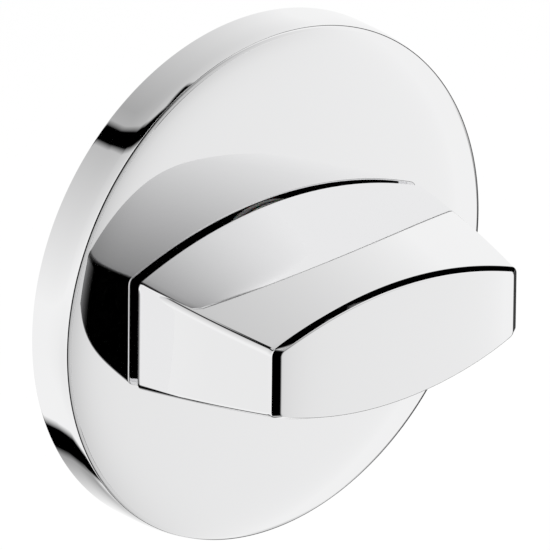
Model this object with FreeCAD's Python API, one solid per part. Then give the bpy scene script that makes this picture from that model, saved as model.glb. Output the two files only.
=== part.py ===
import FreeCAD, Part
import math
import os

# Bathroom thumb turn on a round rose. Millimetres, +Z up, the front faces -Y.
# The origin is the rose's centre on the door face, and the spindle runs into the door along +Y.

# Cover rose: a thin plated pressing, seen from the front
rose_diameter = 50.0
rose_depth = 5.0
cover_wall = 1.2
cover_edge_radius = 0.3
cover_hole_clearance = 0.15

# Thumb turn: barrel-shaped knob that narrows towards its front, on a round shank
knob_depth = 16.37
knob_back_width = 34.4
knob_back_end_height = 10.4
knob_back_crown_height = 17.5
knob_front_width = 29.1
knob_front_crown_height = 11.7
knob_end_swell = 0.3
knob_edge_radius = 0.8
knob_back_chamfer = 0.2
shank_diameter = 12.0
shank_flats = 10.6
shank_tail = 1.05

# Bearing: two flanged bushes in the base plate's hub
bush_clearance = 0.05
bush_wall = 0.8
bush_flange_width = 0.65
bush_stand_out = 0.45
bush_split = 0.2
rear_flange_thickness = 0.8
knob_gap = 0.13

# Base plate: a die-cast inner rose with a hub that stands into the door
base_clearance = 0.2
base_web = 1.5
base_rim_wall = 2.0
hub_floor = 0.8
hub_wall = 1.3
hub_lip = 0.2
bush_seat_clearance = 0.02
rib_count = 8
rib_width = 1.2
rib_setback = 0.5
hub_chamfer = 0.3

# Fixing holes, on the lock case's own centres
fixing_spacing = 38.0
fixing_hole_diameter = 4.4
fixing_head_diameter = 7.8
fixing_boss_diameter = 9.0

# Snap ring of flat spring wire that holds the cover on the base plate
ring_thickness = 0.8
ring_width = 1.1
ring_stand_out = 0.4
ring_play = 0.08
ring_offset = 1.9
ring_gap_angle = 34.0
ring_groove_room = 0.45

# Washers, stop disc and circlip behind the hub floor
thrust_washer_thickness = 0.5
wave_sheet = 0.4
wave_rise = 0.2
wave_count = 3
wave_curve_points = 8
wave_play = 0.1
stop_disc_thickness = 1.0
stop_disc_clearance = 0.05
ear_width = 4.0
ear_overlap = 0.8
ear_corner_radius = 0.5
circlip_thickness = 1.0
circlip_groove_depth = 0.25
circlip_groove_play = 0.03
circlip_width = 2.3
circlip_offset = 0.35
circlip_lug_radius = 1.5
circlip_eye_diameter = 1.5
circlip_lug_angle = 19.0
circlip_opening = 2.3

# Stop pins that end the quarter turn
stop_pin_diameter = 2.0
stop_pin_seat = 2.5
stop_pin_gap = 0.35
stop_pin_setback = 0.2
stop_play = 0.15
turn_range = 90.0

# Spindle and the spring pin that holds it in the shank
spindle_size = 6.0
spindle_reach = 18.0
spindle_seat = 17.0
spindle_clearance = 0.05
spindle_chamfer = 0.8
socket_room = 0.3
pin_diameter = 2.5
pin_wall = 0.5
pin_slot = 0.5
pin_inset = 0.3
pin_clearance = 0.02

# Places along Y that follow from the sizes above
cover_front = -rose_depth
base_front = cover_front + cover_wall
flange_front = cover_front - bush_stand_out
knob_back = flange_front - knob_gap
knob_front = knob_back - knob_depth
bush_middle = (base_front + hub_floor) / 2
rear_flange_back = hub_floor + rear_flange_thickness
thrust_back = rear_flange_back + thrust_washer_thickness
wave_height = wave_sheet + 2 * wave_rise
disc_front = thrust_back + wave_height + wave_play
disc_back = disc_front + stop_disc_thickness
circlip_back = disc_back + circlip_thickness
shank_end = circlip_back + shank_tail
hub_back = circlip_back + hub_lip
socket_floor = shank_end - spindle_seat - socket_room

# Radii that follow from the sizes above
rose_radius = rose_diameter / 2
shank_radius = shank_diameter / 2
bush_bore = shank_radius + bush_clearance
bush_radius = bush_bore + bush_wall
flange_radius = bush_radius + bush_flange_width
cover_hole_radius = flange_radius + cover_hole_clearance
skirt_radius = rose_radius - cover_wall
base_radius = skirt_radius - base_clearance
stop_pin_radius = stop_pin_diameter / 2
stop_pin_circle = flange_radius + stop_pin_gap + stop_pin_radius
hub_bore = stop_pin_circle + stop_pin_radius + stop_pin_gap
hub_radius = hub_bore + hub_wall
groove_radius = shank_radius - circlip_groove_depth
ring_outer = base_radius + ring_stand_out
ring_inner = ring_outer - ring_width

AXIS = FreeCAD.Vector(0, 1, 0)
ORIGIN = FreeCAD.Vector(0, 0, 0)


def point(x, y, z=0.0):
    return FreeCAD.Vector(x, y, z)


def around_axis(radius, angle, y):
    """A point at a radius from the spindle axis, its angle in degrees from straight down towards +X."""
    turn = math.radians(angle)
    return point(radius * math.sin(turn), y, -radius * math.cos(turn))


def cylinder(radius, y_start, y_end, centre=ORIGIN):
    return Part.makeCylinder(radius, y_end - y_start, point(centre.x, y_start, centre.z), AXIS)


def tube(inner, outer, y_start, y_end):
    return cylinder(outer, y_start, y_end).cut(cylinder(inner, y_start, y_end))


def block(width_x, y_start, y_end, width_z, centre=ORIGIN):
    corner = point(centre.x - width_x / 2, y_start, centre.z - width_z / 2)
    return Part.makeBox(width_x, y_end - y_start, width_z, corner)


def revolved(edges, angle=360.0):
    """A solid turned about the spindle axis from edges that close an outline in the XY plane."""
    return Part.Face(Part.Wire(edges)).revolve(ORIGIN, AXIS, angle)


def outline_edges(corners):
    following = corners[1:] + corners[:1]
    return [Part.LineSegment(a, b).toShape() for a, b in zip(corners, following)]


def ends_at(edge, place):
    """Whether both ends of an edge lie at one place along the spindle axis."""
    return all(abs(vertex.Point.y - place) < 1e-6 for vertex in edge.Vertexes)


def round_arc(centre, radius, start, end):
    """The shorter arc about a centre between two points at that radius."""
    outward = (start - centre) + (end - centre)
    return Part.Arc(start, centre + outward * (radius / outward.Length), end).toShape()


def rose_cover():
    """Cup-shaped pressing whose flat face turns into the skirt with a small round."""
    round_centre = point(rose_radius - cover_edge_radius, cover_front + cover_edge_radius)
    round_start = point(round_centre.x, cover_front)
    round_end = point(rose_radius, round_centre.y)
    corners = [
        round_end,
        point(rose_radius, 0),
        point(skirt_radius, 0),
        point(skirt_radius, base_front),
        point(cover_hole_radius, base_front),
        point(cover_hole_radius, cover_front),
        round_start,
    ]
    edges = [Part.LineSegment(a, b).toShape() for a, b in zip(corners, corners[1:])]
    edges.append(round_arc(round_centre, cover_edge_radius, round_start, round_end))
    return revolved(edges).cut(snap_groove(skirt_radius - cover_wall, ring_outer + ring_play))


def snap_groove(inner, outer):
    """Room for the snap ring, between two radii."""
    half_width = ring_thickness / 2 + ring_play
    return tube(inner, outer, -ring_offset - half_width, -ring_offset + half_width)


def snap_ring():
    """Open ring of flat spring wire, with its gap at the bottom."""
    front = -ring_offset - ring_thickness / 2
    corners = [
        point(ring_inner, front),
        point(ring_outer, front),
        point(ring_outer, front + ring_thickness),
        point(ring_inner, front + ring_thickness),
    ]
    ring = revolved(outline_edges(corners), 360 - ring_gap_angle)
    ring.rotate(ORIGIN, AXIS, 90 + ring_gap_angle / 2)
    return ring


def knob_crown(side):
    """Cone about an axis on the far side of the knob: its rim is the crown on this side."""
    back_rise = (knob_back_crown_height - knob_back_end_height) / 2
    back_radius = (knob_back_width**2 / 4 + back_rise**2) / (2 * back_rise)
    centre_drop = back_radius - knob_back_crown_height / 2
    front_radius = centre_drop + knob_front_crown_height / 2
    front_centre = point(0, knob_front, -side * centre_drop)
    return Part.makeCone(front_radius, back_radius, knob_depth, front_centre, AXIS)


def knob_plan():
    """The knob as seen from above: two slightly swollen ends between its front and back faces."""
    front_end = point(knob_front_width / 2, knob_front)
    back_end = point(knob_back_width / 2, knob_back)
    swollen = (front_end + back_end) / 2 + point(knob_end_swell, 0)
    far_front = point(-front_end.x, front_end.y)
    far_back = point(-back_end.x, back_end.y)
    end = Part.Arc(front_end, swollen, back_end).toShape()
    back = Part.LineSegment(back_end, far_back).toShape()
    front = Part.LineSegment(far_front, front_end).toShape()
    outline = Part.Wire([end, back, end.mirror(ORIGIN, point(1, 0)), front])
    height = 2 * knob_back_crown_height
    plan = Part.Face(outline).extrude(point(0, 0, height))
    plan.translate(point(0, 0, -height / 2))
    return plan


def knob_body():
    """Barrel common to both crowns and the plan: rounded edges, and a fine chamfer on the back rim."""
    body = knob_crown(1).common([knob_crown(-1)]).common([knob_plan()])
    rounded = [edge for edge in body.Edges if not ends_at(edge, knob_back)]
    body = body.makeFillet(knob_edge_radius, rounded)
    back_rim = [edge for edge in body.Edges if ends_at(edge, knob_back)]
    return body.makeChamfer(knob_back_chamfer, back_rim)


def shank_body():
    """Round shank with two flats behind the bushes, and the circlip's groove."""
    shank = cylinder(shank_radius, knob_back - shank_radius, shank_end)
    beyond = shank_diameter
    for side in (-1, 1):
        centre = point(side * (shank_flats + beyond) / 2, 0)
        shank = shank.cut(block(beyond, thrust_back, shank_end, shank_diameter, centre))
    groove_back = circlip_back + circlip_groove_play
    return shank.cut(tube(groove_radius, shank_diameter, disc_back, groove_back))


def pin_bore(radius):
    """Cross bore for the spring pin, through the shank where the two bushes cover its ends."""
    start = point(-shank_radius, bush_middle)
    return Part.makeCylinder(radius, shank_diameter, start, FreeCAD.Vector(1, 0, 0))


def thumb_turn():
    socket_width = spindle_size + 2 * spindle_clearance
    body = knob_body().fuse(shank_body()).removeSplitter()
    body = body.cut(block(socket_width, socket_floor, shank_end, socket_width))
    return body.cut(pin_bore(pin_diameter / 2 + pin_clearance))


def spindle():
    bar = block(spindle_size, shank_end - spindle_seat, spindle_reach, spindle_size)
    tip = [edge for edge in bar.Edges if ends_at(edge, spindle_reach)]
    bar = bar.makeChamfer(spindle_chamfer, tip)
    return bar.cut(pin_bore(pin_diameter / 2 + pin_clearance))


def spindle_pin():
    """Slotted spring pin across the shank and the spindle."""
    length = shank_diameter - 2 * pin_inset
    start = point(-length / 2, bush_middle)
    along = FreeCAD.Vector(1, 0, 0)
    pin = Part.makeCylinder(pin_diameter / 2, length, start, along)
    pin = pin.cut(Part.makeCylinder(pin_diameter / 2 - pin_wall, length, start, along))
    slot_corner = point(-length / 2, bush_middle - pin_slot / 2)
    return pin.cut(Part.makeBox(length, pin_slot, pin_diameter, slot_corner))


def bush(flange_start, flange_end, body_start, body_end):
    body = cylinder(bush_radius, body_start, body_end)
    flange = cylinder(flange_radius, flange_start, flange_end)
    bore = cylinder(bush_bore, min(flange_start, body_start), max(flange_end, body_end))
    return body.fuse(flange).cut(bore).removeSplitter()


def front_bush():
    body_end = bush_middle - bush_split / 2
    return bush(flange_front, base_front, flange_front, body_end)


def rear_bush():
    body_start = bush_middle + bush_split / 2
    return bush(hub_floor, rear_flange_back, body_start, rear_flange_back)


def fixing_centres():
    return [point(side * fixing_spacing / 2, 0) for side in (-1, 1)]


def fixing_hole(centre):
    """Clearance hole with a countersink for the screw's head, open towards the cover."""
    hole_radius = fixing_hole_diameter / 2
    head_radius = fixing_head_diameter / 2
    front = point(centre.x, base_front, centre.z)
    sink = Part.makeCone(head_radius, hole_radius, head_radius - hole_radius, front, AXIS)
    return cylinder(hole_radius, base_front, 0, centre).fuse(sink)


def rib(angle):
    """Radial rib between the hub and the rim, set back from the door."""
    inner = (hub_bore + hub_radius) / 2
    outer = base_radius - base_rim_wall / 2
    strip = block(rib_width, base_front, -rib_setback, outer - inner, point(0, 0, -(inner + outer) / 2))
    strip.rotate(ORIGIN, AXIS, angle)
    return strip


def base_casting():
    """The casting before its bores: web, rim, hub, screw bosses and ribs."""
    web = cylinder(base_radius, base_front, base_front + base_web)
    pieces = [tube(base_radius - base_rim_wall, base_radius, base_front, 0)]
    pieces.append(cylinder(hub_radius, base_front, hub_back - hub_chamfer))
    chamfer_front = point(0, hub_back - hub_chamfer)
    pieces.append(Part.makeCone(hub_radius, hub_radius - hub_chamfer, hub_chamfer, chamfer_front, AXIS))
    pieces += [cylinder(fixing_boss_diameter / 2, base_front, 0, c) for c in fixing_centres()]
    pieces += [rib((step + 0.5) * 360 / rib_count) for step in range(rib_count)]
    return web.multiFuse(pieces).removeSplitter()


def stop_pin_centres():
    """The ear of the stop disc meets one pin at each end of the quarter turn."""
    reach = ear_width / 2 + stop_pin_radius + stop_play
    ear_side = math.degrees(math.asin(reach / stop_pin_circle))
    half_travel = turn_range / 2 + ear_side
    return [around_axis(stop_pin_circle, side * half_travel, 0) for side in (1, -1)]


def base_plate():
    plate = base_casting()
    cuts = [cylinder(bush_radius + bush_seat_clearance, base_front, hub_floor)]
    cuts.append(cylinder(hub_bore, hub_floor, hub_back))
    cuts += [fixing_hole(centre) for centre in fixing_centres()]
    for centre in stop_pin_centres():
        seat_radius = stop_pin_radius + bush_seat_clearance
        cuts.append(cylinder(seat_radius, hub_floor - stop_pin_seat, hub_floor, centre))
    cuts.append(snap_groove(ring_inner - ring_groove_room, rose_radius))
    return plate.cut(cuts)


def stop_pin(centre):
    return cylinder(stop_pin_radius, hub_floor - stop_pin_seat, disc_back - stop_pin_setback, centre)


def thrust_washer():
    return tube(bush_bore, flange_radius, rear_flange_back, thrust_back)


def wave_edge(radius, y):
    """Closed wavy edge round the shank, as one side of the wave washer's sheet."""
    steps = wave_curve_points * wave_count
    points = []
    for step in range(steps):
        angle = 360 * step / steps
        lift = wave_rise * math.cos(math.radians(wave_count * angle))
        points.append(around_axis(radius, angle, y + lift))
    curve = Part.BSplineCurve()
    curve.interpolate(Points=points, PeriodicFlag=True)
    return curve.toShape()


def wave_washer():
    front = thrust_back + wave_play / 2 + wave_rise
    back = front + wave_sheet
    inner = shank_radius + 2 * bush_clearance
    loop = [
        wave_edge(inner, front),
        wave_edge(flange_radius, front),
        wave_edge(flange_radius, back),
        wave_edge(inner, back),
    ]
    faces = [Part.makeRuledSurface(a, b) for a, b in zip(loop, loop[1:] + loop[:1])]
    sheet = Part.makeSolid(Part.makeShell(faces))
    sheet.fix(1e-6, 1e-6, 1e-6)
    return sheet


def keyed_bore(y_start, y_end):
    """Round bore with two flats, as the shank's tail."""
    bore = cylinder(shank_radius + stop_disc_clearance, y_start, y_end)
    flats = block(shank_flats + 2 * stop_disc_clearance, y_start, y_end, 2 * shank_diameter)
    return bore.common(flats)


def stop_disc():
    """Keyed disc whose ear swings between the stop pins."""
    ear_reach = stop_pin_circle + ear_overlap
    ear = block(ear_width, disc_front, disc_back, ear_reach, point(0, 0, -ear_reach / 2))
    corners = []
    for edge in ear.Edges:
        if edge.BoundBox.YLength > stop_disc_thickness / 2 and edge.BoundBox.ZMin < -stop_pin_circle:
            corners.append(edge)
    ear = ear.makeFillet(ear_corner_radius, corners)
    ear.rotate(ORIGIN, AXIS, -turn_range / 2)
    disc = cylinder(flange_radius, disc_front, disc_back).fuse(ear).removeSplitter()
    return disc.cut(keyed_bore(disc_front, disc_back))


def circlip():
    """Tapering open ring in the shank's groove, with two eyed lugs beside its opening."""
    outer_radius = groove_radius + circlip_width - circlip_offset
    centre = point(0, 0, -circlip_offset)
    ring = cylinder(outer_radius, disc_back, circlip_back, centre)
    lugs = [around_axis(groove_radius + circlip_lug_radius, 180 + side * circlip_lug_angle, 0)
            for side in (-1, 1)]
    ring = ring.multiFuse([cylinder(circlip_lug_radius, disc_back, circlip_back, lug) for lug in lugs])
    ring = ring.removeSplitter()
    eyes = [cylinder(circlip_eye_diameter / 2, disc_back, circlip_back, lug) for lug in lugs]
    opening = block(circlip_opening, disc_back, circlip_back, shank_diameter, point(0, 0, shank_diameter / 2))
    return ring.cut([cylinder(groove_radius, disc_back, circlip_back), opening] + eyes)


def write(name, shape):
    shape.exportStep("parts/" + name + ".step")


os.makedirs("parts", exist_ok=True)
write("rose_cover", rose_cover())
write("thumb_turn", thumb_turn())
write("spindle", spindle())
write("spindle_pin", spindle_pin())
write("front_bush", front_bush())
write("rear_bush", rear_bush())
write("base_plate", base_plate())
write("snap_ring", snap_ring())
write("thrust_washer", thrust_washer())
write("wave_washer", wave_washer())
write("stop_disc", stop_disc())
write("circlip", circlip())
for pin_name, pin_centre in zip(("stop_pin_open", "stop_pin_locked"), stop_pin_centres()):
    write(pin_name, stop_pin(pin_centre))
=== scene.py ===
import math

import bmesh
import bpy
import numpy as np
from mathutils import Matrix, Vector


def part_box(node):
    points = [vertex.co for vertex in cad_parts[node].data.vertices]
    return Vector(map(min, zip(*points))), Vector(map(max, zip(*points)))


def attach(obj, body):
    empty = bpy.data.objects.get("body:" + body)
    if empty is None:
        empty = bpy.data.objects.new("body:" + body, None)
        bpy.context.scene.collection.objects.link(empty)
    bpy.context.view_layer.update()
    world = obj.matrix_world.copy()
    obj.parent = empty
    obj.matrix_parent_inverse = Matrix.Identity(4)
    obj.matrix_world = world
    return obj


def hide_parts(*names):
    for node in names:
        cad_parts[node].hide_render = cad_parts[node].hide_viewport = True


bl_info = {
    "name": "Bathroom thumb turn",
    "version": (1, 0, 0),
    "blender": (4, 5, 0),
    "location": "3D View > Sidebar > Thumb turn",
    "description": "Dresses a packed thumb turn in polished chrome and sets a white studio round it",
    "category": "Object",
}

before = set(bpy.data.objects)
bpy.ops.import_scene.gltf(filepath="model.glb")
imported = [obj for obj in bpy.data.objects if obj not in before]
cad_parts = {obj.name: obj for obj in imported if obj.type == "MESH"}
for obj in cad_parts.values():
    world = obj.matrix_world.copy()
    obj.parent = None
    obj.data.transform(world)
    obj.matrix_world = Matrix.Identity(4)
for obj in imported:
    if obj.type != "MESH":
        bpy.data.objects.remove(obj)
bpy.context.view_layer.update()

MM = 0.001
MM_PER_METRE = 1000
IMAGE_PIXELS = 550
SENSOR_MM = 36.0
ROSE_LOW, ROSE_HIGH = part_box("rose_cover")
TURN_LOW, TURN_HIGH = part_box("thumb_turn")
CIRCLIP_LOW, CIRCLIP_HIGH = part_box("circlip")
PIN_LOW, PIN_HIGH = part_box("spindle_pin")
WASHER_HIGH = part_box("thrust_washer")[1]


def length(name, default, description):
    return bpy.props.FloatProperty(
        name=name, default=default, min=0, precision=5, unit="LENGTH", description=description
    )


def tint(name, default, description):
    return bpy.props.FloatVectorProperty(
        name=name, default=default, size=3, min=0, max=1, subtype="COLOR", description=description
    )


def share(name, default, description):
    return bpy.props.FloatProperty(
        name=name, default=default, min=0, max=1, subtype="FACTOR", description=description
    )


def degrees(name, default, description):
    return bpy.props.FloatProperty(
        name=name, default=math.radians(default), subtype="ANGLE", description=description
    )


class RoseSizes(bpy.types.PropertyGroup):
    """Sizes of the pressed cover rose."""

    radius: length("Radius", ROSE_HIGH.x, "Outer radius of the rose")
    depth: length("Depth", -ROSE_LOW.y, "How far the rose stands off the door")
    wall: length("Wall", 1.2 * MM, "Sheet thickness")
    hole_radius: length("Hole radius", 7.65 * MM, "Radius of the hole round the bush")
    edge_radius: length("Edge radius", 0.15 * MM, "Round between the face and the skirt")
    ease_width: length("Ease width", 9.0 * MM, "Width in which polishing has let the face fall back")
    ease_drop: length("Ease drop", 0.31 * MM, "How far the face falls back at the edge")
    ease_power: bpy.props.FloatProperty(
        name="Ease power", default=6.0, min=1, max=12, description="How late the face falls back"
    )
    skirt_width: length("Skirt width", 3.0 * MM, "Depth in which the skirt is taken in at the front")
    skirt_drop: length("Skirt drop", 0.25 * MM, "How far the skirt is taken in at the front edge")
    lip_radius: length("Lip radius", 0.1 * MM, "Broken edge at the hole and at the door")
    bend_radius: length("Bend radius", 0.2 * MM, "Inner bend between web and skirt")
    segments: bpy.props.IntProperty(
        name="Segments", default=288, min=24, max=720, description="Steps round the rose"
    )


class KnobSizes(bpy.types.PropertyGroup):
    """Sizes of the cast knob and its shank."""

    front: length("Front", -TURN_LOW.y, "Distance of the knob's front face from the door")
    back: length("Back", 5.58 * MM, "Distance of the knob's back face from the door")
    back_width: length("Back width", 34.4 * MM, "Width of the back face")
    front_width: length("Front width", 29.1 * MM, "Width of the front face")
    back_crown: length("Back crown", 17.5 * MM, "Height of the back face at its middle")
    front_crown: length("Front crown", 11.7 * MM, "Height of the front face at its middle")
    back_end: length("Back end", 10.4 * MM, "Height of the back face at its ends")
    end_swell: length("End swell", 0.3 * MM, "How far the two ends bulge")
    crown_swell: length("Crown swell", 0.1 * MM, "How far top and bottom bulge along the depth")
    side_radius: length("Side radius", 0.8 * MM, "Round on the four edges along the depth")
    crown_bevel: length("Crown bevel", 0.66 * MM, "How far the front rim's bevel runs down the crowns")
    crown_inset: length("Crown inset", 0.22 * MM, "How far the bevel takes the front face in at the crowns")
    end_bevel: length("End bevel", 0.45 * MM, "How far the front rim's bevel runs down the ends")
    end_inset: length("End inset", 0.6 * MM, "How far the bevel takes the front face in at the ends")
    bevel_round: length("Bevel round", 0.1 * MM, "Reach of the rounds at both borders of the bevel")
    back_rim: length("Back rim", 0.14 * MM, "Reach of the round on the back rim")
    front_dome: length("Front dome", 0.03 * MM, "How far polishing has rounded the front face")
    front_ease: length("Front ease", 0.2 * MM, "How far the front face falls back at its two ends")
    shank_radius: length("Shank radius", 6.0 * MM, "Radius of the shank")
    shank_flats: length("Shank flats", 10.6 * MM, "Width over the flats of the shank's tail")
    groove_radius: length("Groove radius", 5.75 * MM, "Radius at the bottom of the circlip's groove")
    socket_width: length("Socket width", 6.1 * MM, "Width of the square socket")
    socket_floor: length("Socket floor", 11.25 * MM, "Distance of the socket's floor in front of the door")


class FinishColours(bpy.types.PropertyGroup):
    """Colours and gloss of the finishes."""

    chrome: tint("Chrome", (0.93, 0.93, 0.935), "Polished chrome plate")
    chrome_haze: share("Chrome haze", 0.035, "Roughness where the plate is slightly hazed")
    zinc: tint("Zinc casting", (0.46, 0.47, 0.49), "Bare die casting")
    acetal: tint("Acetal", (0.86, 0.85, 0.81), "Moulded bushes")
    bronze: tint("Bronze", (0.66, 0.47, 0.26), "Thrust washer")
    spring: tint("Spring steel", (0.2, 0.2, 0.21), "Ring, circlip, wave washer and pin")
    plated: tint("Plated steel", (0.62, 0.63, 0.66), "Spindle, stop disc and stop pins")


class StudioSettings(bpy.types.PropertyGroup):
    """Camera, floor and light."""

    azimuth: degrees("Azimuth", 40.76, "Camera angle to the left of the knob")
    elevation: degrees("Elevation", 24.27, "Camera angle above the knob")
    roll: degrees("Roll", 0.54, "Turn of the camera about its own axis")
    distance: length("Distance", 1.5, "Camera distance from the rose's centre")
    pixels_per_mm: bpy.props.FloatProperty(
        name="Pixels per millimetre", default=10.944, description="Scale at the rose's centre"
    )
    centre_x: bpy.props.FloatProperty(
        name="Centre across", default=241.6, subtype="PIXEL", description="Pixel column of the rose's centre"
    )
    centre_y: bpy.props.FloatProperty(
        name="Centre down", default=267.6, subtype="PIXEL", description="Pixel row of the rose's centre"
    )
    floor_drop: length("Floor drop", 0.5, "Depth of the floor below the rose's centre")
    flag_distance: length("Flag distance", 0.45, "Distance of the nearest flag from the part")
    fill: share("Fill", 0.95, "Light of the room on matt surfaces")
    mirrored: share("Mirrored", 0.95, "Light of the room in polished surfaces")


class ThumbTurnSettings(bpy.types.PropertyGroup):
    """All the settings of the thumb turn."""

    rose: bpy.props.PointerProperty(type=RoseSizes, name="Rose", description="Sizes of the rose")
    knob: bpy.props.PointerProperty(type=KnobSizes, name="Knob", description="Sizes of the knob")
    finish: bpy.props.PointerProperty(type=FinishColours, name="Finish", description="Colours")
    studio: bpy.props.PointerProperty(type=StudioSettings, name="Studio", description="Camera and light")


def settings():
    return bpy.context.scene.thumb_turn


# Node helpers

def node(tree, kind, values=None, **options):
    """A new node with its options set and its inputs set or linked."""
    made = tree.nodes.new(kind)
    for key, value in options.items():
        setattr(made, key, value)
    for key, value in (values or {}).items():
        if isinstance(value, bpy.types.NodeSocket):
            tree.links.new(value, made.inputs[key])
        else:
            made.inputs[key].default_value = value
    return made


def maths(tree, operation, a, b=0.0):
    return node(tree, "ShaderNodeMath", {0: a, 1: b}, operation=operation).outputs[0]


def new_material(name):
    made = bpy.data.materials.new(name)
    made.use_nodes = True
    made.node_tree.nodes.clear()
    return made, made.node_tree


def place(tree, stretch=(1, 1, 1)):
    """Object coordinates, stretched by a mapping."""
    where = node(tree, "ShaderNodeTexCoord").outputs["Object"]
    return node(tree, "ShaderNodeMapping", {"Vector": where, "Scale": stretch}).outputs[0]


def noise(tree, where, scale, detail=3.0):
    values = {"Vector": where, "Scale": scale, "Detail": detail}
    return node(tree, "ShaderNodeTexNoise", values).outputs["Fac"]


def spread(tree, value, low, high, start=0.3, end=0.7):
    """Value between start and end, mapped to a range and held inside it."""
    values = {"Value": value, "From Min": start, "From Max": end, "To Min": low, "To Max": high}
    return node(tree, "ShaderNodeMapRange", values, clamp=True).outputs[0]


def shades(tree, factor, dark, light):
    """Colour between two shades."""
    mix = node(tree, "ShaderNodeMix", data_type="RGBA")
    tree.links.new(factor, mix.inputs["Factor"])
    for socket in mix.inputs:
        if socket.type == "RGBA" and socket.name == "A":
            socket.default_value = (*dark, 1)
        if socket.type == "RGBA" and socket.name == "B":
            socket.default_value = (*light, 1)
    return next(s for s in mix.outputs if s.type == "RGBA")


def bump(tree, height, depth, strength=1.0):
    values = {"Height": height, "Distance": depth, "Strength": strength}
    return node(tree, "ShaderNodeBump", values).outputs["Normal"]


def surface(tree, values):
    """Principled surface wired to the output."""
    shader = node(tree, "ShaderNodeBsdfPrincipled", values)
    node(tree, "ShaderNodeOutputMaterial", {"Surface": shader.outputs[0]})


def times(colour, factor):
    return tuple(min(1.0, channel * factor) for channel in colour)


# Finishes

def chrome_plate():
    """Mirror plate with a trace of haze and polishing ripple."""
    finish = settings().finish
    made, tree = new_material("chrome_plate")
    where = place(tree)
    haze = spread(tree, noise(tree, where, 95.0), 0.012, finish.chrome_haze)
    ripple = noise(tree, where, 260.0, 1.0)
    colour = shades(tree, noise(tree, where, 60.0), times(finish.chrome, 0.985), finish.chrome)
    surface(tree, {
        "Base Color": colour,
        "Metallic": 1.0,
        "Roughness": haze,
        "Normal": bump(tree, ripple, 0.000002, 0.15),
    })
    return made


def zinc_casting():
    """Grey casting skin: cloudy flow patterns over fine grain."""
    finish = settings().finish
    made, tree = new_material("zinc_casting")
    where = place(tree)
    cloud = noise(tree, where, 180.0, 5.0)
    grain = noise(tree, where, 2600.0, 4.0)
    colour = shades(tree, spread(tree, cloud, 0.0, 1.0), times(finish.zinc, 0.8), times(finish.zinc, 1.2))
    height = maths(tree, "ADD", maths(tree, "MULTIPLY", cloud, 0.5), grain)
    surface(tree, {
        "Base Color": colour,
        "Metallic": 1.0,
        "Roughness": spread(tree, cloud, 0.36, 0.52),
        "Normal": bump(tree, height, 0.00003, 0.5),
    })
    return made


def moulded_acetal():
    """Off-white moulding with a slightly waxy, spark-eroded skin."""
    finish = settings().finish
    made, tree = new_material("acetal")
    where = place(tree)
    cloud = noise(tree, where, 240.0)
    colour = shades(tree, cloud, times(finish.acetal, 0.94), times(finish.acetal, 1.03))
    surface(tree, {
        "Base Color": colour,
        "Roughness": spread(tree, cloud, 0.32, 0.44),
        "Subsurface Weight": 0.1,
        "Subsurface Scale": 0.001,
        "Normal": bump(tree, noise(tree, where, 5200.0), 0.00001, 0.4),
    })
    return made


def turned_bronze():
    """Washer faced on a lathe, slightly tarnished."""
    finish = settings().finish
    made, tree = new_material("bronze")
    where = place(tree)
    rings = node(
        tree, "ShaderNodeTexWave", {"Vector": where, "Scale": 900.0, "Distortion": 0.6},
        wave_type="RINGS", rings_direction="Y",
    ).outputs["Fac"]
    tarnish = noise(tree, where, 320.0, 4.0)
    dull, bright = times(finish.bronze, 0.72), times(finish.bronze, 1.12)
    colour = shades(tree, spread(tree, tarnish, 0.0, 1.0), dull, bright)
    surface(tree, {
        "Base Color": colour,
        "Metallic": 1.0,
        "Roughness": spread(tree, tarnish, 0.28, 0.42),
        "Normal": bump(tree, rings, 0.00001, 0.5),
    })
    return made


def spring_steel():
    """Dark oiled spring steel with drawing marks."""
    finish = settings().finish
    made, tree = new_material("spring_steel")
    where = place(tree)
    patch = noise(tree, where, 420.0, 4.0)
    marks = noise(tree, place(tree, (1.0, 14.0, 1.0)), 700.0, 2.0)
    colour = shades(tree, spread(tree, patch, 0.0, 1.0), times(finish.spring, 0.7), times(finish.spring, 1.6))
    surface(tree, {
        "Base Color": colour,
        "Metallic": 1.0,
        "Roughness": spread(tree, patch, 0.24, 0.4),
        "Normal": bump(tree, marks, 0.00001, 0.4),
    })
    return made


def plated_steel():
    """Bright zinc plate over drawn bar: fine lines along the bar and a faint colour cast."""
    finish = settings().finish
    made, tree = new_material("plated_steel")
    where = place(tree)
    cast = noise(tree, where, 150.0, 3.0)
    lines = noise(tree, place(tree, (60.0, 1.0, 60.0)), 45.0, 3.0)
    cool = (finish.plated[0] * 0.92, finish.plated[1] * 0.97, min(1.0, finish.plated[2] * 1.08))
    warm = (min(1.0, finish.plated[0] * 1.1), finish.plated[1] * 1.05, finish.plated[2] * 0.94)
    surface(tree, {
        "Base Color": shades(tree, spread(tree, cast, 0.0, 1.0), cool, warm),
        "Metallic": 1.0,
        "Roughness": spread(tree, lines, 0.2, 0.34),
        "Normal": bump(tree, lines, 0.000008, 0.5),
    })
    return made


MATERIAL_MAKERS = {
    "chrome_plate": chrome_plate,
    "zinc_casting": zinc_casting,
    "acetal": moulded_acetal,
    "bronze": turned_bronze,
    "spring_steel": spring_steel,
    "plated_steel": plated_steel,
}
CAD_FINISHES = {
    "zinc_casting": ("base_plate",),
    "acetal": ("front_bush", "rear_bush"),
    "bronze": ("thrust_washer",),
    "spring_steel": ("snap_ring", "wave_washer", "circlip", "spindle_pin"),
    "plated_steel": ("spindle", "stop_disc", "stop_pin_open", "stop_pin_locked"),
}
made_finishes = {}


def finish_for(slot):
    """The material of a slot, made when it is first asked for."""
    if slot not in made_finishes:
        made_finishes[slot] = MATERIAL_MAKERS[slot]()
    return made_finishes[slot]


# Mesh helpers

SEAM_TOLERANCE = 1e-8
FULL_WEIGHT = 100


def linked(name, mesh):
    made = bpy.data.objects.new(name, mesh)
    bpy.context.scene.collection.objects.link(made)
    return made


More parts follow.
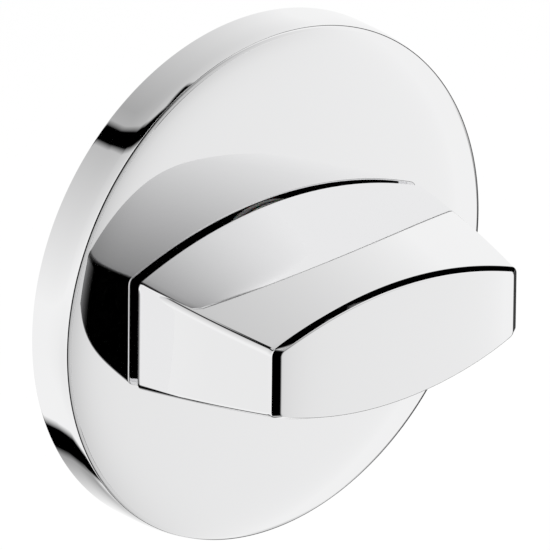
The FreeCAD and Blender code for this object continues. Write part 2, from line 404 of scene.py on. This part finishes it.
def evaluated_mesh(made):
    """Plain mesh of an object with its modifiers applied."""
    graph = bpy.context.evaluated_depsgraph_get()
    return bpy.data.meshes.new_from_object(
        made.evaluated_get(graph), preserve_all_data_layers=True, depsgraph=graph
    )


def outward_faces(mesh):
    """Turns the faces of a closed mesh outwards, with its seams joined."""
    work = bmesh.new()
    work.from_mesh(mesh)
    bmesh.ops.remove_doubles(work, verts=work.verts, dist=SEAM_TOLERANCE)
    bmesh.ops.recalc_face_normals(work, faces=work.faces)
    if work.calc_volume(signed=True) < 0:
        bmesh.ops.reverse_faces(work, faces=work.faces)
    work.to_mesh(mesh)
    work.free()


def smoothed(name, mesh, crease=30.0):
    """Object with smooth shading, sharp only where faces meet at more than an angle."""
    for face in mesh.polygons:
        face.use_smooth = True
    mesh.set_sharp_from_angle(angle=math.radians(crease))
    rough = linked("rough_" + name, mesh)
    weighted = rough.modifiers.new("Weighted", "WEIGHTED_NORMAL")
    weighted.keep_sharp = True
    weighted.weight = FULL_WEIGHT
    made = linked(name, evaluated_mesh(rough))
    bpy.data.objects.remove(rough)
    return made


def dressed(made, slot, body, replaced):
    """Gives a finished piece its material, body and slot, and hides the CAD nodes it stands for."""
    made.data.materials.clear()
    made.data.materials.append(finish_for(slot))
    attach(made, body)
    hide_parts(*replaced)


# Rose

ROSE_INPUTS = (
    "Radius", "Depth", "Wall", "Hole radius", "Edge radius", "Ease width", "Ease drop", "Ease power",
    "Skirt width", "Skirt drop", "Lip radius", "Bend radius",
)
ROUND_STEPS = 10
FACE_CUTS = 72
SKIRT_CUTS = 40
SKIRT_POWER = 2.5
LIP_REACH = 1 * MM
FACE_TOLERANCE = 0.01 * MM
SKIRT_TOLERANCE = 0.001 * MM


def fall(tree, along, width, drop, power):
    """Shift that grows with a power of the way along, from where the ease starts, and points inwards."""
    share_out = maths(tree, "DIVIDE", maths(tree, "MAXIMUM", along, 0.0), width)
    depth = maths(tree, "MULTIPLY", maths(tree, "POWER", share_out, power), drop)
    return maths(tree, "MULTIPLY", depth, -1.0)


def cuts_after(tree, parts, from_axis, given):
    """Cuts in the segment after each point of the section: many along the face and the skirt, else none."""
    face_level = maths(tree, "SUBTRACT", given["Depth"], FACE_TOLERANCE)
    level = maths(tree, "GREATER_THAN", parts["Y"], face_level)
    near_hole = maths(tree, "LESS_THAN", from_axis, maths(tree, "ADD", given["Hole radius"], LIP_REACH))
    on_skirt = maths(tree, "GREATER_THAN", parts["X"], -SKIRT_TOLERANCE)
    high = maths(tree, "GREATER_THAN", parts["Y"], maths(tree, "MULTIPLY", given["Depth"], 0.5))
    face_cuts = maths(tree, "MULTIPLY", maths(tree, "MULTIPLY", near_hole, level), FACE_CUTS)
    skirt_cuts = maths(tree, "MULTIPLY", maths(tree, "MULTIPLY", on_skirt, high), SKIRT_CUTS)
    return maths(tree, "ADD", face_cuts, skirt_cuts)


def eased(tree, section, given):
    """Section whose front face and skirt, cut fine, fall back towards the edge with a growing slope."""
    spot = node(tree, "GeometryNodeInputPosition").outputs[0]
    parts = node(tree, "ShaderNodeSeparateXYZ", {"Vector": spot}).outputs
    from_axis = maths(tree, "ADD", parts["X"], given["Radius"])
    cuts = cuts_after(tree, parts, from_axis, given)
    fine = node(tree, "GeometryNodeSubdivideCurve", {"Curve": section, "Cuts": cuts}).outputs[0]

    web = maths(tree, "SUBTRACT", given["Depth"], given["Wall"])
    forward = spread(tree, parts["Y"], 0.0, 1.0, web, given["Depth"])
    face_start = maths(tree, "SUBTRACT", given["Radius"], given["Ease width"])
    face_along = maths(tree, "SUBTRACT", from_axis, face_start)
    back = fall(tree, face_along, given["Ease width"], given["Ease drop"], given["Ease power"])
    outside = maths(tree, "GREATER_THAN", parts["X"], maths(tree, "MULTIPLY", given["Wall"], -0.5))
    skirt_start = maths(tree, "SUBTRACT", given["Depth"], given["Skirt width"])
    skirt_along = maths(tree, "SUBTRACT", parts["Y"], skirt_start)
    into = fall(tree, skirt_along, given["Skirt width"], given["Skirt drop"], SKIRT_POWER)
    shift = node(tree, "ShaderNodeCombineXYZ", {
        "X": maths(tree, "MULTIPLY", into, outside), "Y": maths(tree, "MULTIPLY", back, forward),
    }).outputs[0]
    return node(tree, "GeometryNodeSetPosition", {"Geometry": fine, "Offset": shift}).outputs[0]


def rose_tree():
    """Pressing: a rounded section swept round the spindle axis."""
    tree = bpy.data.node_groups.new("Rose pressing", "GeometryNodeTree")
    sockets = tree.interface
    sockets.new_socket(name="Geometry", in_out="INPUT", socket_type="NodeSocketGeometry")
    for name in ROSE_INPUTS:
        sockets.new_socket(name=name, in_out="INPUT", socket_type="NodeSocketFloat")
    sockets.new_socket(name="Segments", in_out="INPUT", socket_type="NodeSocketInt")
    sockets.new_socket(name="Finish", in_out="INPUT", socket_type="NodeSocketMaterial")
    sockets.new_socket(name="Geometry", in_out="OUTPUT", socket_type="NodeSocketGeometry")
    given = node(tree, "NodeGroupInput").outputs

    inner = maths(tree, "SUBTRACT", given["Radius"], given["Wall"])
    web = maths(tree, "SUBTRACT", given["Depth"], given["Wall"])
    corners = (
        (given["Hole radius"], given["Depth"], given["Lip radius"]),
        (given["Radius"], given["Depth"], given["Edge radius"]),
        (given["Radius"], 0.0, given["Lip radius"]),
        (inner, 0.0, 0.0),
        (inner, web, given["Bend radius"]),
        (given["Hole radius"], web, 0.0),
    )
    index = node(tree, "GeometryNodeInputIndex").outputs[0]
    where = node(tree, "GeometryNodeIndexSwitch", data_type="VECTOR")
    rounding = node(tree, "GeometryNodeIndexSwitch", data_type="FLOAT")
    for switch in (where, rounding):
        while len(switch.index_switch_items) < len(corners):
            switch.index_switch_items.new()
        tree.links.new(index, switch.inputs["Index"])
    for step, (radius, depth, corner_radius) in enumerate(corners):
        offset = maths(tree, "SUBTRACT", radius, given["Radius"])
        spot = node(tree, "ShaderNodeCombineXYZ", {"X": offset, "Y": depth}).outputs[0]
        tree.links.new(spot, where.inputs[step + 1])
        if isinstance(corner_radius, float):
            rounding.inputs[step + 1].default_value = corner_radius
        else:
            tree.links.new(corner_radius, rounding.inputs[step + 1])
    line = node(tree, "GeometryNodeMeshLine", {"Count": len(corners)}).outputs[0]
    laid = node(tree, "GeometryNodeSetPosition", {"Geometry": line, "Position": where.outputs[0]}).outputs[0]
    curve = node(tree, "GeometryNodeMeshToCurve", {"Mesh": laid}).outputs[0]
    closed = node(tree, "GeometryNodeSetSplineCyclic", {"Geometry": curve, "Cyclic": True}).outputs[0]
    rounded = node(
        tree, "GeometryNodeFilletCurve",
        {"Curve": closed, "Radius": rounding.outputs[0], "Limit Radius": True, "Count": ROUND_STEPS},
        mode="POLY",
    ).outputs[0]
    section = eased(tree, rounded, given)
    circle = node(
        tree, "GeometryNodeCurvePrimitiveCircle",
        {"Radius": given["Radius"], "Resolution": given["Segments"]}, mode="RADIUS",
    ).outputs[0]
    swept = node(tree, "GeometryNodeCurveToMesh", {"Curve": circle, "Profile Curve": section}).outputs[0]
    turned = node(
        tree, "GeometryNodeTransform", {"Geometry": swept, "Rotation": (-math.pi / 2, 0, 0)}
    ).outputs[0]
    whole = node(tree, "GeometryNodeRealizeInstances", {"Geometry": turned}).outputs[0]
    painted = node(
        tree, "GeometryNodeSetMaterial", {"Geometry": whole, "Material": given["Finish"]}
    ).outputs[0]
    node(tree, "NodeGroupOutput", {0: painted})
    return tree


def tree_input(modifier, name, value):
    """Sets a modifier's input by the identifier of the socket with this name."""
    for item in modifier.node_group.interface.items_tree:
        if item.in_out == "INPUT" and item.name == name:
            modifier[item.identifier] = value
            return
    raise KeyError(name)


class THUMBTURN_OT_rose(bpy.types.Operator):
    """Sweep the pressed cover rose, with its soft front edge"""

    bl_idname = "thumb_turn.rose"
    bl_label = "Cover rose"

    def execute(self, context):
        sizes = settings().rose
        rough = linked("rough_rose", bpy.data.meshes.new("rough_rose"))
        press = rough.modifiers.new("Pressing", "NODES")
        press.node_group = rose_tree()
        for name in ROSE_INPUTS + ("Segments",):
            tree_input(press, name, getattr(sizes, name.lower().replace(" ", "_")))
        tree_input(press, "Finish", finish_for("chrome_plate"))
        mesh = evaluated_mesh(rough)
        bpy.data.objects.remove(rough)
        if not mesh.polygons:
            raise RuntimeError("the rose's section gave no mesh")
        outward_faces(mesh)
        made = smoothed("rose_pressing", mesh)
        dressed(made, "chrome_plate", "rose", ("rose_cover",))
        return {"FINISHED"}


# Knob

CROWN_POINTS = 33
CORNER_POINTS = 13
END_POINTS = 13
WALL_RINGS = 48
RING_GAP = 0.02 * MM
LEAST_CORNER = 0.05 * MM
CORNER_POWER = 24
CAP_SHARES = (0.985, 0.95, 0.88, 0.78, 0.66, 0.52, 0.38, 0.24, 0.1)
DOME_LIMIT = 1.6
EASE_POWER = 7
SHANK_ROOT = 0.8 * MM
OVERRUN = 1 * MM
BORE_STEPS = 48


def crown_sizes(sizes):
    """Radius of the crown at the back, and how far its centre lies beyond the knob's middle."""
    rise = (sizes.back_crown - sizes.back_end) / 2
    radius = (sizes.back_width**2 / 4 + rise**2) / (2 * rise)
    return radius, radius - sizes.back_crown / 2


def knob_section(sizes, y):
    """Half width and crown radius of the knob at a place along the axis, before its edges are rounded."""
    back_radius, drop = crown_sizes(sizes)
    share_forward = (-sizes.back - y) / (sizes.front - sizes.back)
    swell = 4 * share_forward * (1 - share_forward)
    half_width = (sizes.back_width + (sizes.front_width - sizes.back_width) * share_forward) / 2
    crown = (sizes.back_crown + (sizes.front_crown - sizes.back_crown) * share_forward) / 2
    return half_width + sizes.end_swell * swell, drop + crown + sizes.crown_swell * swell, drop


def knob_outline(half_width, radius, drop, corner):
    """Closed outline of one section: two crowns and two ends, with rounded corners."""
    corner_x = half_width - corner
    corner_z = math.sqrt((radius - corner)**2 - corner_x**2) - drop
    lean = math.atan2(corner_x, corner_z + drop)
    crown = [(radius * math.sin(t), radius * math.cos(t) - drop) for t in np.linspace(0, lean, CROWN_POINTS)]
    turn = [(corner_x + corner * math.sin(t), corner_z + corner * math.cos(t))
            for t in np.linspace(lean, math.pi / 2, CORNER_POINTS)[1:]]
    end = [(half_width, z) for z in np.linspace(corner_z, 0, END_POINTS)[1:]]
    quarter = crown + turn + end
    lower = [(x, -z) for x, z in quarter[-2::-1]]
    right = quarter + lower
    left = [(-x, z) for x, z in right[-2:0:-1]]
    return right + left


def round_profile(reach, steps=10):
    """Setback from the flat face and inset from the wall of a round rim, from the wall to the face."""
    angles = [math.pi / 2 * step / steps for step in range(steps + 1)]
    return [(reach * (1 - math.sin(t)), reach * (1 - math.cos(t))) for t in angles]


def bevel_profile(setback, inset, soft, steps=8):
    """Setback and inset of a flat bevel with softened borders, from the wall to the face."""
    start, end = Vector((setback, 0)), Vector((0, inset))
    along = (end - start) / math.hypot(setback, inset)
    points = []
    for corner, before, after in ((start, Vector((1, 0)), along), (end, -along, Vector((0, 1)))):
        for step in range(steps + 1):
            t = step / steps
            points.append(corner + (before * (1 - t)**2 + after * t**2) * soft)
    return [tuple(point) for point in points]


def knob_rings(sizes):
    """Sections of the knob from its back face to its front face, as lists of points."""
    crown = bevel_profile(sizes.crown_bevel, sizes.crown_inset, sizes.bevel_round)
    end = bevel_profile(sizes.end_bevel, sizes.end_inset, sizes.bevel_round)
    back = round_profile(sizes.back_rim)
    rings = []
    for setback, inset in reversed(back):
        rings.append(knob_ring(sizes, -sizes.back - setback, inset))
    first = -sizes.back - back[0][0]
    last = -sizes.front + crown[0][0] + RING_GAP
    for step in range(1, WALL_RINGS + 1):
        rings.append(knob_ring(sizes, first + (last - first) * step / WALL_RINGS, 0.0))
    for (crown_back, crown_in), (end_back, end_in) in zip(crown, end):
        rings.append(knob_ring(sizes, -sizes.front + crown_back, crown_in, end_in, end_back - crown_back))
    return rings


def knob_ring(sizes, y, inset, end_inset=None, end_back=0.0):
    """One section of the knob, taken in at the crowns and at the ends, the ends further back if asked."""
    half_width, radius, drop = knob_section(sizes, y)
    if end_inset is None:
        end_inset = inset
    corner = max(sizes.side_radius - min(inset, end_inset), LEAST_CORNER)
    reach = half_width - end_inset
    outline = knob_outline(reach, radius - inset, drop, corner)
    return [(x, y + end_back * min(1.0, abs(x) / reach)**CORNER_POWER, z) for x, z in outline]


def knob_mesh(sizes):
    """Closed skin of the knob, with its flat faces filled ring by ring."""
    rings = knob_rings(sizes)
    back = [[(x * s, y, z * s) for x, y, z in rings[0]] for s in reversed(CAP_SHARES)]
    front = [[(x * s, y, z * s) for x, y, z in rings[-1]] for s in CAP_SHARES]
    skin = back + rings + front
    work = bmesh.new()
    grid = [[work.verts.new(p) for p in ring] for ring in skin]
    count = len(grid[0])
    for near, far in zip(grid, grid[1:]):
        for step in range(count):
            after = (step + 1) % count
            work.faces.new((near[step], near[after], far[after], far[step]))
    for ring in (grid[0], grid[-1]):
        centre = work.verts.new((0, ring[0].co.y, 0))
        for step in range(count):
            work.faces.new((ring[step], ring[(step + 1) % count], centre))
    dome(work, sizes)
    bmesh.ops.recalc_face_normals(work, faces=work.faces)
    mesh = bpy.data.meshes.new("knob")
    work.to_mesh(mesh)
    work.free()
    return mesh


def dome(work, sizes):
    """Lets the front face fall back a little towards its rim and its two ends, as polishing leaves it."""
    middle = -(sizes.front + sizes.back) / 2
    reach = sizes.front + middle
    for vertex in work.verts:
        forward = max(0.0, (middle - vertex.co.y) / reach)
        side = vertex.co.x / sizes.front_width * 2
        rise = vertex.co.z / sizes.front_crown * 2
        domed = sizes.front_dome * min(side**2 + rise**2, DOME_LIMIT) / DOME_LIMIT
        vertex.co.y += (domed + sizes.front_ease * abs(side)**EASE_POWER) * forward**2


def disc_solid(name, radius, start, end, steps=128):
    """Cylinder about the spindle axis."""
    work = bmesh.new()
    bmesh.ops.create_cone(
        work, cap_ends=True, segments=steps, radius1=radius, radius2=radius, depth=end - start,
        matrix=Matrix.Translation((0, (start + end) / 2, 0)) @ Matrix.Rotation(math.pi / 2, 4, "X"),
    )
    mesh = bpy.data.meshes.new(name)
    work.to_mesh(mesh)
    work.free()
    return linked(name, mesh)


def box_solid(name, low, high):
    work = bmesh.new()
    size = Vector(high) - Vector(low)
    centre = (Vector(high) + Vector(low)) / 2
    bmesh.ops.create_cube(work, size=1, matrix=Matrix.Translation(centre) @ Matrix.Diagonal((*size, 1)))
    mesh = bpy.data.meshes.new(name)
    work.to_mesh(mesh)
    work.free()
    return linked(name, mesh)


def combined(base, tools):
    """Mesh of a solid after union or difference with other solids, which are used up."""
    for tool, operation in tools:
        step = base.modifiers.new(operation, "BOOLEAN")
        step.operation = operation
        step.solver = "EXACT"
        step.object = tool
    mesh = evaluated_mesh(base)
    for used in [base] + [tool for tool, _ in tools]:
        bpy.data.objects.remove(used)
    return mesh


def shank_tools(sizes):
    """Flats, groove, socket and pin bore of the shank, as solids to cut away."""
    tail = TURN_HIGH.y
    beyond = sizes.shank_radius * 2
    flat = sizes.shank_flats / 2
    half_socket = sizes.socket_width / 2
    tools = [
        box_solid("flat_right", (flat, WASHER_HIGH.y, -beyond), (beyond, tail + OVERRUN, beyond)),
        box_solid("flat_left", (-beyond, WASHER_HIGH.y, -beyond), (-flat, tail + OVERRUN, beyond)),
        box_solid("socket", (-half_socket, -sizes.socket_floor, -half_socket),
                  (half_socket, tail + OVERRUN, half_socket)),
    ]
    groove = disc_solid("groove", beyond, CIRCLIP_LOW.y, CIRCLIP_HIGH.y)
    core = disc_solid("groove_core", sizes.groove_radius, CIRCLIP_LOW.y - OVERRUN, CIRCLIP_HIGH.y + OVERRUN)
    tools.append(linked("groove_ring", combined(groove, [(core, "DIFFERENCE")])))
    pin_middle = (PIN_LOW + PIN_HIGH) / 2
    pin_radius = (PIN_HIGH.y - PIN_LOW.y) / 2
    bore = disc_solid("pin_bore", pin_radius, -beyond, beyond, BORE_STEPS)
    bore.data.transform(Matrix.Translation((0, pin_middle.y, 0)) @ Matrix.Rotation(math.pi / 2, 4, "Z"))
    tools.append(bore)
    return [(tool, "DIFFERENCE") for tool in tools]


class THUMBTURN_OT_knob(bpy.types.Operator):
    """Shape the cast knob with its shank as one plated piece"""

    bl_idname = "thumb_turn.knob"
    bl_label = "Knob and shank"

    def execute(self, context):
        sizes = settings().knob
        knob = linked("rough_knob", knob_mesh(sizes))
        shank = disc_solid("rough_shank", sizes.shank_radius, -sizes.back - SHANK_ROOT, TURN_HIGH.y)
        mesh = combined(knob, [(shank, "UNION")] + shank_tools(sizes))
        if not mesh.polygons:
            raise RuntimeError("the knob and its shank gave no mesh")
        made = smoothed("knob_casting", mesh)
        dressed(made, "chrome_plate", "turn", ("thumb_turn",))
        return {"FINISHED"}


class THUMBTURN_OT_inner_parts(bpy.types.Operator):
    """Give the base plate, bushes, washers, pins and spindle their finishes"""

    bl_idname = "thumb_turn.inner_parts"
    bl_label = "Inner parts"

    def execute(self, context):
        for slot, names in CAD_FINISHES.items():
            for name in names:
                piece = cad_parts[name]
                for holder in piece.material_slots:
                    holder.material = finish_for(slot)
        return {"FINISHED"}


# Studio

KEY_PLACE = (-0.5, -0.6, 0.9)
KEY_SIZE = 0.5
KEY_POWER = 6.0
FLOOR_REACH = 6.0


def direction(azimuth, elevation):
    """Unit vector: azimuth from straight behind the rose towards +X, elevation above the horizon."""
    a, e = math.radians(azimuth), math.radians(elevation)
    return Vector((math.sin(a) * math.cos(e), math.cos(a) * math.cos(e), math.sin(e)))


def across(turn, lean):
    """Unit vector: turn about +X from straight behind the rose towards overhead, and lean towards +X."""
    t, s = math.radians(turn), math.radians(lean)
    return Vector((math.sin(s), math.cos(s) * math.cos(t), math.cos(s) * math.sin(t)))


# Flags are soft neutral filters on spheres round the part, seen only in its polished surfaces. Each has its
# azimuth and elevation ranges, the share of light held back, and soft borders left, right, below and above,
# in degrees.
FLAGS = (
    ("camera_side", (134, 231), (-80, 75), 1.0, (76, 5, 15, 1)),
    ("camera_side_high", (136, 231), (-16, 52), 0.75, (50, 5, 16, 20)),
    ("camera_side_core", (174, 231), (-62, 60), 1.0, (22, 5, 10, 10)),
    ("overhead", (68, 110), (-14, 88), 1.0, (7, 8, 8, 1)),
    ("overhead_left", (96, 123), (62, 84), 1.0, (4, 8, 5, 4)),
    ("high_left", (-85, -1), (66, 80), 1.0, (6, 8, 3, 4)),
    ("pool_below", (-12, 36), (-62, -28), 0.6, (6, 34, 6, 6)),
    ("front_low_right", (62, 122), (-70, -4), 0.95, (8, 8, 8, 8)),
    ("front_low", (100, 134), (-80, -40), 0.5, (6, 6, 6, 6)),
)

# A band is a flag with the share of light held back, then rows: the turn about the knob's long axis, from
# straight behind towards overhead, and the two leans along that axis between which it lies, in degrees.
BANDS = (
    ("band_left", 1.0, ((34, -25, -17), (43, -26.5, -17.5), (49, -29.5, -18.5), (56, -32.5, -19.5),
                        (66, -34, -19), (69, -34, -14), (72, -34, -9), (95, -34, -9))),
    ("band_below", 1.0, ((-85, -20, -5), (-64, -21, -5.5), (-56, -24, -3), (-50, -20, -0.5), (-46, -16, 1.5),
                         (-40, -13, 2.5))),
)
BAND_WIDTH = 20
BAND_BORDER = 4.5
BAND_END_BORDER = 3

# A round flag has the azimuth and elevation of its centre, its radius, the share of light held back and its
# soft border, in degrees.
ROUND_FLAGS = (
    ("zenith", (104, 83), 15, 1.0, 4),
    ("nadir", (-10, -82), 20, 1.0, 6),
    ("low_left", (-68, -28), 24, 0.07, 18),
    ("behind_left", (-18, 45), 62, 0.56, 62),
)
CELL_DEGREES = 3
LEAST_CELLS = 4
FLAG_STEP = 2 * MM


def flag_material(name, held, borders, width, height):
    """Neutral filter with soft borders, told by its UV map in degrees."""
    made, tree = new_material("flag_" + name)
    spot = node(tree, "ShaderNodeUVMap", uv_map="UVMap").outputs[0]
    parts = node(tree, "ShaderNodeSeparateXYZ", {"Vector": spot}).outputs
    left, right, bottom, top = borders
    sides = (
        (parts["X"], left), (maths(tree, "SUBTRACT", width, parts["X"]), right),
        (parts["Y"], bottom), (maths(tree, "SUBTRACT", height, parts["Y"]), top),
    )
    cover = held
    for inside, border in sides:
        if border:
            cover = maths(tree, "MULTIPLY", spread(tree, inside, 0.0, 1.0, 0.0, border), cover)
    passed = maths(tree, "SUBTRACT", 1.0, cover)
    clear = node(tree, "ShaderNodeBsdfTransparent", {"Color": passed}).outputs[0]
    node(tree, "ShaderNodeOutputMaterial", {"Surface": clear})
    return made


def flag(name, width, height, distance, spot, material):
    """Grid on a sphere round the part, laid out by a map of degrees to directions."""
    columns = max(LEAST_CELLS, int(width / CELL_DEGREES))
    rows = max(LEAST_CELLS, int(height / CELL_DEGREES))
    work = bmesh.new()
    layer = work.loops.layers.uv.new("UVMap")
    grid = [[work.verts.new(spot(width * i / columns, height * j / rows) * distance)
             for i in range(columns + 1)] for j in range(rows + 1)]
    for j in range(rows):
        for i in range(columns):
            corners = ((i, j), (i + 1, j), (i + 1, j + 1), (i, j + 1))
            face = work.faces.new([grid[b][a] for a, b in corners])
            for loop, (a, b) in zip(face.loops, corners):
                loop[layer].uv = (width * a / columns, height * b / rows)
    mesh = bpy.data.meshes.new("flag_" + name)
    work.to_mesh(mesh)
    work.free()
    made = linked("flag_" + name, mesh)
    mesh.materials.append(material)
    for ray in ("camera", "diffuse", "shadow", "transmission", "volume_scatter"):
        setattr(made, "visible_" + ray, False)


def corner_spot(azimuth, elevation):
    """Map of degrees right of and above a corner to directions."""

    def spot(u, v):
        return direction(azimuth + u, elevation + v)

    return spot


def round_spot(centre):
    """Map of degrees out from a centre and round it to directions."""
    turn = direction(*centre).to_track_quat("Z", "Y")

    def spot(u, v):
        return turn @ direction(v, 90 - u)

    return spot


def band_spot(rows):
    """Map of degrees along a band and across it to directions."""
    turns, lefts, rights = zip(*rows)

    def spot(u, v):
        turn = turns[0] + u
        left, right = np.interp(turn, turns, lefts), np.interp(turn, turns, rights)
        return across(turn, left + (right - left) * v / BAND_WIDTH)

    return spot


def flags(distance):
    """All the flags, each a little further out than the one before."""
    planned = []
    for name, azimuths, elevations, held, borders in FLAGS:
        size = (azimuths[1] - azimuths[0], elevations[1] - elevations[0])
        planned.append((name, size, held, borders, corner_spot(azimuths[0], elevations[0])))
    for name, held, rows in BANDS:
        size = (rows[-1][0] - rows[0][0], BAND_WIDTH)
        borders = (BAND_END_BORDER, BAND_END_BORDER, BAND_BORDER, BAND_BORDER)
        planned.append((name, size, held, borders, band_spot(rows)))
    for name, centre, radius, held, border in ROUND_FLAGS:
        planned.append((name, (radius, 360), held, (0, border, 0, 0), round_spot(centre)))
    for step, (name, size, held, borders, spot) in enumerate(planned):
        material = flag_material(name, held, borders, *size)
        flag(name, *size, distance + step * FLAG_STEP, spot, material)


def floor(drop):
    """Wide pale floor below the part, not seen in its polished surfaces."""
    r = FLOOR_REACH
    mesh = bpy.data.meshes.new("floor")
    corners = [(-r, -r, -drop), (r, -r, -drop), (r, r, -drop), (-r, r, -drop)]
    mesh.from_pydata(corners, [], [(0, 1, 2, 3)])
    made = linked("floor", mesh)
    paint, tree = new_material("floor_paint")
    pale = shades(tree, noise(tree, place(tree), 3.0), (0.985, 0.985, 0.985), (1.0, 1.0, 1.0))
    surface(tree, {"Base Color": pale, "Roughness": 0.9, "Specular IOR Level": 0.0})
    mesh.materials.append(paint)
    made.visible_glossy = False


def room(fill, mirrored):
    """White room: full white where it is seen, less where it is mirrored or lights matt surfaces."""
    world = bpy.data.worlds.new("white_room")
    world.use_nodes = True
    tree = world.node_tree
    tree.nodes.clear()
    path = node(tree, "ShaderNodeLightPath").outputs
    seen = maths(tree, "MAXIMUM", path["Is Camera Ray"], path["Is Transmission Ray"])
    matt = node(tree, "ShaderNodeBackground", {"Color": (1, 1, 1, 1), "Strength": fill}).outputs[0]
    pale = node(tree, "ShaderNodeBackground", {"Color": (1, 1, 1, 1), "Strength": mirrored}).outputs[0]
    white = node(tree, "ShaderNodeBackground", {"Color": (1, 1, 1, 1), "Strength": 1.0}).outputs[0]
    lit = node(tree, "ShaderNodeMixShader", {0: path["Is Glossy Ray"], 1: matt, 2: pale}).outputs[0]
    mixed = node(tree, "ShaderNodeMixShader", {0: seen, 1: lit, 2: white}).outputs[0]
    node(tree, "ShaderNodeOutputWorld", {"Surface": mixed})
    bpy.context.scene.world = world


def soft_lamp(name, where, size, power):
    """Large soft lamp that faces the part."""
    data = bpy.data.lights.new(name, "AREA")
    data.shape = "DISK"
    data.size = size
    data.energy = power
    made = linked(name, data)
    made.location = where
    made.rotation_euler = (-Vector(where)).to_track_quat("-Z", "Y").to_euler()
    made.visible_glossy = False
    made.visible_camera = False


def camera(studio):
    """Camera at the photograph's angle, with its frame set by scale and shift."""
    a, e = studio.azimuth, studio.elevation
    forward = Vector((math.sin(a) * math.cos(e), math.cos(a) * math.cos(e), -math.sin(e)))
    right = Vector((math.cos(a), -math.sin(a), 0))
    up = right.cross(forward)
    c, s = math.cos(studio.roll), math.sin(studio.roll)
    right, up = right * c + up * s, up * c - right * s
    data = bpy.data.cameras.new("camera")
    made = linked("camera", data)
    turn = Matrix((right, up, -forward)).transposed().to_4x4()
    made.matrix_world = Matrix.Translation(-forward * studio.distance) @ turn
    focal_pixels = studio.pixels_per_mm * MM_PER_METRE * studio.distance
    data.sensor_width = SENSOR_MM
    data.lens = SENSOR_MM * focal_pixels / IMAGE_PIXELS
    data.shift_x = (IMAGE_PIXELS / 2 - studio.centre_x) / IMAGE_PIXELS
    data.shift_y = (studio.centre_y - IMAGE_PIXELS / 2) / IMAGE_PIXELS
    bpy.context.scene.camera = made


class THUMBTURN_OT_studio(bpy.types.Operator):
    """Set the pale floor, the white room, the soft lamp, the flags and the camera"""

    bl_idname = "thumb_turn.studio"
    bl_label = "Studio"

    def execute(self, context):
        studio = settings().studio
        floor(studio.floor_drop)
        room(studio.fill, studio.mirrored)
        soft_lamp("key", KEY_PLACE, KEY_SIZE, KEY_POWER)
        flags(studio.flag_distance)
        camera(studio)
        context.scene.view_settings.view_transform = "Standard"
        return {"FINISHED"}


PANEL_ROWS = (("rose", "rose"), ("knob", "knob"), ("finish", "inner_parts"), ("studio", "studio"))


class THUMBTURN_PT_panel(bpy.types.Panel):
    """Thumb turn pieces and their settings"""

    bl_idname = "THUMBTURN_PT_panel"
    bl_label = "Thumb turn"
    bl_space_type = "VIEW_3D"
    bl_region_type = "UI"
    bl_category = "Thumb turn"

    def draw(self, context):
        layout = self.layout
        for group, operator in PANEL_ROWS:
            layout.operator("thumb_turn." + operator)
            column = layout.column(align=True)
            values = getattr(settings(), group)
            for name in values.__annotations__:
                column.prop(values, name)


CLASSES = (
    RoseSizes,
    KnobSizes,
    FinishColours,
    StudioSettings,
    ThumbTurnSettings,
    THUMBTURN_OT_rose,
    THUMBTURN_OT_knob,
    THUMBTURN_OT_inner_parts,
    THUMBTURN_OT_studio,
    THUMBTURN_PT_panel,
)


def register():
    for item in CLASSES:
        bpy.utils.register_class(item)
    bpy.types.Scene.thumb_turn = bpy.props.PointerProperty(type=ThumbTurnSettings)


def unregister():
    del bpy.types.Scene.thumb_turn
    for item in reversed(CLASSES):
        bpy.utils.unregister_class(item)


def clear_start_scene():
    """Removes what a new Blender file holds, so that only the frame is left."""
    for name in ("Cube", "Light", "Camera"):
        if name in bpy.data.objects:
            bpy.data.objects.remove(bpy.data.objects[name])


def main():
    register()
    clear_start_scene()
    bpy.ops.thumb_turn.rose()
    bpy.ops.thumb_turn.knob()
    bpy.ops.thumb_turn.inner_parts()
    bpy.ops.thumb_turn.studio()
    bpy.context.view_layer.update()


if __name__ == "__main__":
    main()
